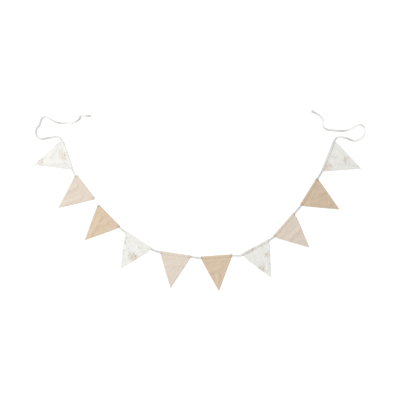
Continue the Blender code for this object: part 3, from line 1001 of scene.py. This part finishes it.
    def cut_end(self, index: int, across: float) -> Vector:
        """How the right tie's free end spreads a little and is cut at a slant.

        Args:
            index: the station's number.
            across: how far across the tape the point is.

        Returns:
            How far the point moves, across and ahead.
        """
        from_end = (self.stations[index].point - self.stations[-1].point).length
        share = 2 * across / self.WIDE
        spread = self.SPREAD_SIDE * share * (1.0 - eased(from_end / self.SPREAD_LENGTH))
        return Vector((spread, -self.END_SLANT * share * max(0.0, 1.0 - from_end / self.SLANT_LENGTH)))

    def build(self) -> bpy.types.Object:
        """Wraps a grid round the tape's sections and closes its two cut ends.

        Returns:
            The tape as one closed piece.
        """
        section = self.section()
        rows = len(self.stations) - 1
        bm = bmesh.new()
        uv = bm.loops.layers.uv.new(UV_MAP)
        layer = bm.verts.layers.float.new(LAYERS_AND_SHADE_MARK)
        bmesh.ops.create_grid(bm, x_segments=self.AROUND, y_segments=rows, size=1.0)
        measured = [0.0]
        for before, after in zip(self.stations, self.stations[1:]):
            measured.append(measured[-1] + (after.point - before.point).length)
        spot = {}
        for vert in bm.verts:
            column = round((vert.co.x + 1.0) / 2.0 * self.AROUND) % self.AROUND
            row = round((vert.co.y + 1.0) / 2.0 * rows)
            side, up = self.axes(row)
            flat = section[column]
            waver = self.WAVER * noise.noise(Vector((measured[row] / self.WAVER_PITCH, flat.x, 0.0)))
            cup = self.CUPPED * (1.0 - (2 * flat.x / self.WIDE) ** 2)
            station = self.stations[row]
            fade = abs(math.sin(math.radians(station.roll)))
            moved = self.cut_end(row, flat.x)
            vert.co = station.point + side * (flat.x + moved.x) + up * (flat.y + (cup + waver) * fade)
            vert.co += side.cross(up) * moved.y
            # The tape's painted shade, read along its length, goes on the mark that the flags use for their
            # layers.
            vert[layer] = read_table(TAPE_PAINTED_SHADE, measured[row], TAPE_PAINTED_SHADE[-1].grey)
            spot[vert] = Vector((flat.x, measured[row]))
        for face in bm.faces:
            for loop in face.loops:
                loop[uv].uv = spot[loop.vert] * MM
        bmesh.ops.remove_doubles(bm, verts=bm.verts[:], dist=self.JOIN_WITHIN)
        ends = [edge for edge in bm.edges if edge.is_boundary]
        bmesh.ops.holes_fill(bm, edges=ends, sides=0)
        bm.transform(Matrix.Scale(MM, 4))
        return finished(bm, "tape_strip")


@dataclass(frozen=True)
class PlainCotton:
    """Plain-weave cotton muslin, loosely woven of slubby yarn; pattern sizes in millimetres.

    Muslin is matt, lets more layers show as a deeper tone, and its thick and
    thin yarns give it a faint crosshatch.
    """

    name: str
    colour: str
    deep_and_shade: str
    warm: str
    yarn_pitch: float = 1.0
    slub_long: float = 34.0
    slub_wide: float = 2.6
    slub_range: tuple[float, float] = (0.3, 0.5)
    slub_shade: float = 0.93
    slub_height: float = 1.6
    mottle_pitch: float = 26.0
    mottle_range: tuple[float, float] = (0.38, 0.66)
    mottle_most: float = 0.75
    weave_depth: float = 0.25
    weave_strength: float = 0.55
    roughness: float = 0.9
    specular: float = 0.25
    sheen: float = 0.12
    sheen_roughness: float = 0.6

    def ground(self, tree: Tree, flat: Feed) -> Feed:
        """The cloth's own colour, without any print.

        Args:
            tree: the material's nodes.
            flat: the place on the flat cloth, in millimetres.

        Returns:
            What gives the colour.
        """
        spots = {"Vector": flat, "Scale": 1.0 / self.mottle_pitch, "Detail": 3.0, "Roughness": 0.6}
        mottle = add_node(tree, "TexNoise", spots)
        low, high = self.mottle_range
        levels = {"Value": mottle, "From Min": low, "From Max": high, "To Max": self.mottle_most}
        share = add_node(tree, "MapRange", levels)
        colours = {"Factor": share, "A": linear(self.colour), "B": linear(self.warm)}
        return add_node(tree, "Mix", colours, **LAID_OVER)

    def print_over(self, tree: Tree, flat: Feed, colour: Feed) -> Feed:
        """Plain cloth has no print, so its colour passes through."""
        return colour

    def material(self) -> bpy.types.Material:
        """Builds the cloth's material.

        Returns:
            A material that reads the flat cut's own coordinates, and its count of layers with the painted
            shade at the casings.
        """
        material, tree, shader = new_material(self.name)
        flat = flat_place(tree)
        slubs, weave = self.yarns(tree, flat)
        colour = self.print_over(tree, flat, self.ground(tree, flat))
        # The deep colour comes in with the layers mark: extra cloth layers, and painted shade at the casing
        # corners and bands.
        layers = add_node(tree, "Attribute", attribute_name=LAYERS_AND_SHADE_MARK)
        depths = {"Factor": layers.outputs["Fac"], "A": linear("#FFFFFF"), "B": linear(self.deep_and_shade)}
        deeper_and_shaded = add_node(tree, "Mix", depths, **LAID_OVER)
        layered_and_shaded = add_node(tree, "Mix", {"Factor": 1.0, "A": colour, "B": deeper_and_shaded}, **DEEPENED)
        streaked = add_node(tree, "Mix", {"Factor": 1.0, "A": layered_and_shaded, "B": slubs}, **DEEPENED)
        raised = {"Height": weave, "Strength": self.weave_strength, "Distance": self.weave_depth * MM}
        looks = {
            "Base Color": streaked,
            "Normal": add_node(tree, "Bump", raised),
            "Roughness": self.roughness,
            "Specular IOR Level": self.specular,
            "Sheen Weight": self.sheen,
            "Sheen Roughness": self.sheen_roughness,
        }
        feed(tree, shader, looks)
        return material

    def yarns(self, tree: Tree, flat: Feed) -> tuple[Feed, Feed]:
        """The slubs of the warp and the weft, and the relief of their crossings.

        Args:
            tree: the material's nodes.
            flat: the place on the flat cloth, in millimetres.

        Returns:
            A grey that darkens the thick yarns, and a height.
        """
        streaks = []
        for long, wide in ((self.slub_long, self.slub_wide), (self.slub_wide, self.slub_long)):
            scaled = add_node(tree, "Mapping", {"Vector": flat, "Scale": (1.0 / long, 1.0 / wide, 1.0)})
            streak = {"Vector": scaled, "Scale": 1.0, "Detail": 2.0, "Roughness": 0.55}
            streaks.append(add_node(tree, "TexNoise", streak))
        both = add_node(tree, "Math", dict(enumerate(streaks)), operation="MINIMUM")
        low, high = self.slub_range
        levels = {"Value": both, "From Min": low, "From Max": high, "To Min": self.slub_shade}
        grey = add_node(tree, "MapRange", levels)
        axes = add_node(tree, "SeparateXYZ", {"Vector": flat})
        waves = []
        for axis in ("X", "Y"):
            # The yarns are 0.5 mm apart in the real cloth, and drawn at twice that to show up close.
            turn = {0: axes.outputs[axis], 1: math.pi / self.yarn_pitch}
            turned = add_node(tree, "Math", turn, operation="MULTIPLY")
            waves.append(add_node(tree, "Math", {0: turned}, operation="SINE"))
        crossing = add_node(tree, "Math", dict(enumerate(waves)), operation="MULTIPLY")
        height = {0: both, 1: self.slub_height, 2: crossing}
        return grey, add_node(tree, "Math", height, operation="MULTIPLY_ADD")


class Shape(Enum):
    """The printed shapes, each in a box from -1 to 1 both ways."""

    WASH = "wash"
    LEAF = "leaf"
    BLOSSOM = "blossom"
    BERRY = "berry"
    STEM = "stem"


class Motif(NamedTuple):
    """One printed shape in the repeat: its middle, turn, length and width, in millimetres and degrees."""

    shape: Shape
    across: float
    down: float
    turn: float
    length: float
    width: float
    colour: str


PEACH = "#D3C6B8"
RUST = "#C2B3A5"
BROWN = "#A1978E"
SAGE = "#C0C1B8"
GREEN = "#AFB1A8"
STRAW = "#D0C8BC"
BLUSH = "#CEC4B9"

# One repeat of the flower print, charted: a broad bunch of three blossoms, a smaller bunch
# of two, a curved sprig and a bud, each bunch on a soft wash of the same pigment.
REPEAT_WIDE = 132.0
REPEAT_HIGH = 112.0
MOTIFS = (
    Motif(Shape.WASH, 40, 34, 12, 84, 54, BLUSH),
    Motif(Shape.STEM, 44, 42, 160, 48, 11, GREEN),
    Motif(Shape.LEAF, 16, 40, 150, 20, 9, SAGE),
    Motif(Shape.LEAF, 30, 49, 104, 18, 8, GREEN),
    Motif(Shape.LEAF, 62, 41, 30, 21, 9, SAGE),
    Motif(Shape.LEAF, 50, 18, 70, 18, 8, STRAW),
    Motif(Shape.LEAF, 22, 20, 128, 16, 7, SAGE),
    Motif(Shape.BLOSSOM, 33, 32, 12, 27, 25, PEACH),
    Motif(Shape.BLOSSOM, 53, 30, 50, 21, 20, RUST),
    Motif(Shape.BLOSSOM, 43, 45, 80, 15, 14, BROWN),
    Motif(Shape.BERRY, 13, 29, 0, 5, 5, BROWN),
    Motif(Shape.WASH, 105, 82, 150, 52, 36, BLUSH),
    Motif(Shape.LEAF, 91, 78, 30, 16, 7, GREEN),
    Motif(Shape.LEAF, 116, 93, 48, 17, 7, SAGE),
    Motif(Shape.BLOSSOM, 101, 85, 30, 20, 19, RUST),
    Motif(Shape.BLOSSOM, 112, 78, 10, 13, 13, PEACH),
    Motif(Shape.STEM, 100, 28, 74, 46, 10, SAGE),
    Motif(Shape.LEAF, 94, 38, 110, 15, 6, GREEN),
    Motif(Shape.LEAF, 107, 30, 34, 15, 6, STRAW),
    Motif(Shape.LEAF, 98, 18, 128, 14, 6, GREEN),
    Motif(Shape.BERRY, 107, 12, 0, 5, 5, BROWN),
    Motif(Shape.BLOSSOM, 36, 88, 30, 14, 13, PEACH),
    Motif(Shape.LEAF, 47, 92, 20, 14, 6, SAGE),
)


@dataclass(frozen=True)
class PrintedCotton(PlainCotton):
    """Off-white cotton with a sparse flower print in thin, slightly faded pigment."""

    slub_shade: float = 0.965
    strength: float = 0.75
    patches_per_mm: float = 0.55
    patch_range: tuple[float, float] = (0.3, 0.6)
    patch_least: float = 0.55
    waver: float = 1.6
    waver_pitch: float = 9.0
    bleed: float = 0.22
    wash_middle: float = 0.66
    wash_soft: float = 0.34
    petals: float = 5.0
    petal_depth: float = 0.24
    centre: float = 0.22
    stem_rise: float = 0.5
    stem_wide: float = 1.2

    def print_over(self, tree: Tree, flat: Feed, colour: Feed) -> Feed:
        """Lays the repeat's shapes over the ground, one after the other.

        Args:
            tree: the material's nodes.
            flat: the place on the flat cloth, in millimetres.
            colour: the ground's colour.

        Returns:
            What gives the printed colour.
        """
        place = self.in_repeat(tree, flat)
        spots = {"Vector": flat, "Scale": self.patches_per_mm, "Detail": 2.0, "Roughness": 0.7}
        patchy = add_node(tree, "TexNoise", spots)
        low, high = self.patch_range
        levels = {"Value": patchy, "From Min": low, "From Max": high}
        levels |= {"To Min": self.patch_least * self.strength, "To Max": self.strength}
        pigment = add_node(tree, "MapRange", levels)
        taken = add_node(tree, "Attribute", attribute_name=INK_MARK)
        ink = add_node(tree, "Math", {0: pigment, 1: taken.outputs["Fac"]}, operation="MULTIPLY")
        for motif in MOTIFS:
            for inside, hue in self.shapes(tree, place, motif):
                share = add_node(tree, "Math", {0: inside, 1: ink}, operation="MULTIPLY")
                colours = {"Factor": share, "A": colour, "B": linear(hue)}
                colour = add_node(tree, "Mix", colours, **LAID_OVER)
        return colour

    def in_repeat(self, tree: Tree, flat: Feed) -> Feed:
        """The place in the repeat, with every second column dropped by half of its height.

        Args:
            tree: the material's nodes.
            flat: the place on the flat cloth, in millimetres.

        Returns:
            What gives the place, from 0 to the repeat's width and height.
        """
        waver = add_node(tree, "TexNoise", {"Vector": flat, "Scale": 1.0 / self.waver_pitch, "Detail": 1.0})
        middle = {0: waver.outputs["Color"], 1: (0.5, 0.5, 0.5)}
        centred = add_node(tree, "VectorMath", middle, operation="SUBTRACT")
        shift = {0: centred, 1: (self.waver,) * 3, 2: flat}
        moved = add_node(tree, "VectorMath", shift, operation="MULTIPLY_ADD")
        axes = add_node(tree, "SeparateXYZ", {"Vector": moved})
        across, down = axes.outputs["X"], axes.outputs["Y"]
        columns = add_node(tree, "Math", {0: across, 1: REPEAT_WIDE}, operation="DIVIDE")
        column = add_node(tree, "Math", {0: columns}, operation="FLOOR")
        drop = {0: column, 1: REPEAT_HIGH / 2, 2: down}
        dropped = add_node(tree, "Math", drop, operation="MULTIPLY_ADD")
        sides = {"X": (across, REPEAT_WIDE), "Y": (dropped, REPEAT_HIGH)}
        wrapped = {
            axis: add_node(tree, "Math", {0: value, 1: size, 2: 0.0}, operation="WRAP")
            for axis, (value, size) in sides.items()
        }
        return add_node(tree, "CombineXYZ", wrapped)

    def shapes(self, tree: Tree, place: Feed, motif: Motif) -> list[tuple[Feed, str]]:
        """Where each ink of a motif is printed.

        Args:
            tree: the material's nodes.
            place: the place in the repeat.
            motif: the motif.

        Returns:
            For each ink, what is 1 inside its shape, and its colour.
        """
        own = add_node(
            tree,
            "Mapping",
            {
                "Vector": place,
                "Location": (motif.across, motif.down, 0.0),
                "Rotation": (0.0, 0.0, math.radians(motif.turn)),
                "Scale": (motif.length / 2, motif.width / 2, 1.0),
            },
            vector_type="TEXTURE",
        )
        axes = add_node(tree, "SeparateXYZ", {"Vector": own})
        across, down = axes.outputs["X"], axes.outputs["Y"]
        if motif.shape is Shape.LEAF:
            return [(self.leaf(tree, across, down), motif.colour)]
        if motif.shape is Shape.STEM:
            return [(self.stem(tree, across, down, motif.width), motif.colour)]
        far = add_node(tree, "VectorMath", {0: own}, operation="LENGTH")
        if motif.shape is Shape.WASH:
            return [(self.below(tree, far, self.wash_middle, self.wash_soft), motif.colour)]
        if motif.shape is Shape.BERRY:
            return [(self.below(tree, far, 1.0), motif.colour)]
        angle = add_node(tree, "Math", {0: down, 1: across}, operation="ARCTAN2")
        turned = add_node(tree, "Math", {0: angle, 1: self.petals}, operation="MULTIPLY")
        wave = add_node(tree, "Math", {0: turned}, operation="COSINE")
        edge = {0: wave, 1: -self.petal_depth, 2: far}
        petals = add_node(tree, "Math", edge, operation="MULTIPLY_ADD")
        outline = self.below(tree, petals, 1.0 - self.petal_depth)
        return [(outline, motif.colour), (self.below(tree, far, self.centre), BROWN)]

    def leaf(self, tree: Tree, across: Feed, down: Feed) -> Feed:
        """What is 1 inside a leaf with two pointed ends, at places from -1 to 1 along and across it."""
        square = add_node(tree, "Math", {0: across, 1: across}, operation="MULTIPLY")
        high = add_node(tree, "Math", {0: down}, operation="ABSOLUTE")
        return self.below(tree, add_node(tree, "Math", {0: square, 1: high}, operation="ADD"), 1.0)

    def stem(self, tree: Tree, across: Feed, down: Feed, wide: float) -> Feed:
        """A thin bent line.

        Args:
            tree: the material's nodes.
            across: the place along it, from -1 to 1.
            down: the place across it, from -1 to 1.
            wide: how wide its box is, in millimetres.

        Returns:
            What is 1 on the line.
        """
        square = add_node(tree, "Math", {0: across, 1: across}, operation="MULTIPLY")
        bent = add_node(tree, "Math", {0: square, 1: down}, operation="ADD")
        off = add_node(tree, "Math", {0: bent, 1: self.stem_rise}, operation="SUBTRACT")
        apart = add_node(tree, "Math", {0: off}, operation="ABSOLUTE")
        both = {0: self.below(tree, apart, self.stem_wide / wide), 1: self.below(tree, square, 1.0)}
        return add_node(tree, "Math", both, operation="MULTIPLY")

    def below(self, tree: Tree, value: Feed, limit: float, soft: float | None = None) -> Feed:
        """What is 1 where the value is below the limit, with a soft change.

        Args:
            tree: the material's nodes.
            value: the value that is compared.
            limit: where the change is half done.
            soft: how far to each side the change reaches, the bleeding print's own share if None.

        Returns:
            What gives the share, from 0 to 1.
        """
        reach = limit * self.bleed if soft is None else soft
        levels = {"Value": value, "From Min": limit + reach, "From Max": limit - reach}
        return add_node(tree, "MapRange", levels, interpolation_type="SMOOTHSTEP")


@dataclass(frozen=True)
class TapeCotton:
    """Cotton tape in a fine twill with firm edges; pattern sizes in millimetres.

    The twill's close slanting ribs make it look denser and smoother than the flags' cloth.
    """

    name: str = "white_cotton_twill_tape"
    colour: str = "#E2E2DF"
    # The grey that the tape's painted shade mixes in.
    grey: str = "#B4B4B1"
    rib_pitch: float = 1.1
    rib_depth: float = 0.2
    rib_strength: float = 0.4
    soil_per_mm: float = 0.08
    soil_range: tuple[float, float] = (0.35, 0.65)
    soil_shade: float = 0.94
    roughness: float = 0.85
    sheen: float = 0.1

    def material(self) -> bpy.types.Material:
        """Builds the tape's material.

        Returns:
            A material that reads the place across and along the tape, and how much painted shade it has
            there.
        """
        material, tree, shader = new_material(self.name)
        flat = flat_place(tree)
        axes = add_node(tree, "SeparateXYZ", {"Vector": flat})
        slant = add_node(tree, "Math", {0: axes.outputs["X"], 1: axes.outputs["Y"]}, operation="ADD")
        # The twill's ribs are 0.6 mm apart in the real tape and drawn wider, so that they show up close.
        turned = add_node(tree, "Math", {0: slant, 1: 2 * math.pi / self.rib_pitch}, operation="MULTIPLY")
        ribs = add_node(tree, "Math", {0: turned}, operation="SINE")
        soil = add_node(tree, "TexNoise", {"Vector": flat, "Scale": self.soil_per_mm, "Detail": 3.0})
        low, high = self.soil_range
        levels = {"Value": soil, "From Min": low, "From Max": high, "To Min": self.soil_shade}
        soiled = add_node(tree, "MapRange", levels)
        # Painted shade: the tape's colour goes towards its grey where the mark says it lies in shade.
        painted_shade = add_node(tree, "Attribute", attribute_name=LAYERS_AND_SHADE_MARK)
        colours = {"Factor": painted_shade.outputs["Fac"], "A": linear(self.colour), "B": linear(self.grey)}
        shaded_colour = add_node(tree, "Mix", colours, **LAID_OVER)
        raised = {"Height": ribs, "Strength": self.rib_strength, "Distance": self.rib_depth * MM}
        looks = {
            "Base Color": add_node(tree, "Mix", {"Factor": 1.0, "A": shaded_colour, "B": soiled}, **DEEPENED),
            "Normal": add_node(tree, "Bump", raised),
            "Roughness": self.roughness,
            "Sheen Weight": self.sheen,
        }
        feed(tree, shader, looks)
        return material


@dataclass(frozen=True)
class SewingThread:
    """Spun cotton thread, which is a little smoother and brighter than the cloth that it sews."""

    name: str
    colour: str
    roughness: float = 0.6
    twist_pitch: float = 0.9
    twist_depth: float = 0.1
    twist_strength: float = 0.3
    # A wave texture has 20 bands in a length of 1.
    BANDS = 20.0

    def material(self) -> bpy.types.Material:
        """Builds the thread's material.

        Returns:
            A material with the fine bands of a twisted yarn.
        """
        material, tree, shader = new_material(self.name)
        place = add_node(tree, "TexCoord")
        twist = {"Vector": place.outputs["Object"], "Scale": 1.0 / (self.BANDS * self.twist_pitch * MM)}
        bands = add_node(tree, "TexWave", twist, bands_direction="DIAGONAL")
        raised = {"Height": bands.outputs["Fac"], "Strength": self.twist_strength}
        raised["Distance"] = self.twist_depth * MM
        looks = {"Base Color": linear(self.colour), "Roughness": self.roughness}
        looks["Normal"] = add_node(tree, "Bump", raised)
        feed(tree, shader, looks)
        return material


# Each cloth's second colour is its deep tone, for extra layers and for the painted shade at the casings.
CLOTHS = {
    Cloth.PRINTED: PrintedCotton("printed_off_white_cotton_muslin", "#DCDBD7", "#E4E3E0", "#D7D5D0"),
    Cloth.BEIGE: PlainCotton("pale_beige_cotton_muslin", "#D1C4B8", "#D2CBC4", "#CEC4B3"),
    Cloth.TAN: PlainCotton("light_tan_cotton_muslin", "#CBB8A2", "#CFC6BC", "#C4B196"),
}
THREADS = {
    Cloth.PRINTED: SewingThread("off_white_cotton_thread", "#D2D0CA"),
    Cloth.BEIGE: SewingThread("beige_cotton_thread", "#C4B6A5"),
    Cloth.TAN: SewingThread("tan_cotton_thread", "#B9A386"),
}


@dataclass(frozen=True)
class Studio:
    """A white floor under soft daylight from the left, seen straight from above; lengths in metres."""

    floor_reach: float = 12.0
    floor_colour: str = "#B0B0B0"
    middle: tuple[float, float] = (0.0119, 0.0760)
    seen: float = 1.904
    lens: float = 50.0
    sensor: float = 36.0
    floor_glow: float = 0.6
    window_place: tuple[float, float, float] = (-4.4, 2.2, 4.6)
    window_size: float = 2.0
    window_power: float = 290.0
    sky_strength: float = 0.83

    def camera(self) -> None:
        """Sets the camera above the garland, so that its width fills the photograph's frame."""
        data = bpy.data.cameras.new("camera")
        data.lens = self.lens
        data.sensor_width = self.sensor
        camera = bpy.data.objects.new("camera", data)
        camera.location = (*self.middle, self.seen * self.lens / self.sensor)
        bpy.context.scene.collection.objects.link(camera)
        bpy.context.scene.camera = camera

    def floor(self) -> None:
        """Lays the plain floor."""
        bm = bmesh.new()
        bmesh.ops.create_grid(bm, x_segments=1, y_segments=1, size=self.floor_reach)
        floor = finished(bm, "floor")
        # Opal acrylic lit from below shows as a plain bright ground almost without shadows.
        material, tree, shader = new_material("opal_acrylic_light_table")
        looks = {"Emission Color": linear("#FFFFFF"), "Emission Strength": self.floor_glow}
        looks |= {"Base Color": linear(self.floor_colour), "Roughness": 1.0, "Specular IOR Level": 0.0}
        feed(tree, shader, looks)
        floor.data.materials.append(material)

    def light(self) -> None:
        """Adds the window's soft light from the left and the even light of the room."""
        data = bpy.data.lights.new("window", "AREA")
        data.shape = "SQUARE"
        data.size = self.window_size
        data.energy = self.window_power
        window = bpy.data.objects.new("window", data)
        window.location = self.window_place
        aim = Vector((*self.middle, 0.0)) - Vector(self.window_place)
        window.rotation_euler = aim.to_track_quat("-Z", "Y").to_euler()
        bpy.context.scene.collection.objects.link(window)
        world = bpy.data.worlds.new("room")
        world.use_nodes = True
        sky = {"Strength": self.sky_strength, "Color": linear("#FFFFFF")}
        feed(world.node_tree, world.node_tree.nodes["Background"], sky)
        bpy.context.scene.world = world

    def build(self) -> None:
        """Makes the camera, the floor and the lights."""
        self.camera()
        self.floor()
        self.light()
        bpy.context.scene.view_settings.view_transform = "Standard"


def dress_tape(tape: TapeStrip) -> None:
    """Args:
        tape: the tape's route and sizes.
    """
    strip = tape.build()
    strip.data.materials.append(TapeCotton().material())
    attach(strip, BODY)
    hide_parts("tape")
    tape.length()
    LOG.info("tape: %.3f m, %d faces", tape.length(), len(strip.data.polygons))


def dress_flag(flag: FlagCloth, cloth: bpy.types.Material, thread: bpy.types.Material) -> None:
    """Args:
        flag: the flag's sizes and folds.
        cloth: its cloth's material.
        thread: its thread's material.
    """
    cut = flag.cut
    piece = flag.build()
    piece.data.materials.append(cloth)
    stitches = Stitching().build(flag)
    stitches.data.materials.append(thread)
    for obj in (piece, stitches):
        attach(obj, BODY)
    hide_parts(cut.name)
    counts = (len(piece.data.polygons), len(stitches.data.polygons))
    LOG.info("%s: %d faces, %d in its stitches", cut.name, *counts)


def main() -> None:
    """Builds the studio, the tape and the flags."""
    logging.basicConfig(level=logging.INFO, format="%(name)s: %(message)s")
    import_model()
    Studio().build()
    placed = place_flags()
    dress_tape(TapeStrip(placed))
    cloths = {cloth: finish.material() for cloth, finish in CLOTHS.items()}
    threads = {cloth: finish.material() for cloth, finish in THREADS.items()}
    for number, place in enumerate(placed, start=1):
        kind = place.cut.cloth
        dress_flag(FlagCloth(place, number, RELIEFS[kind]), cloths[kind], threads[kind])
    bpy.context.view_layer.update()


if __name__ == "__main__":
    main()
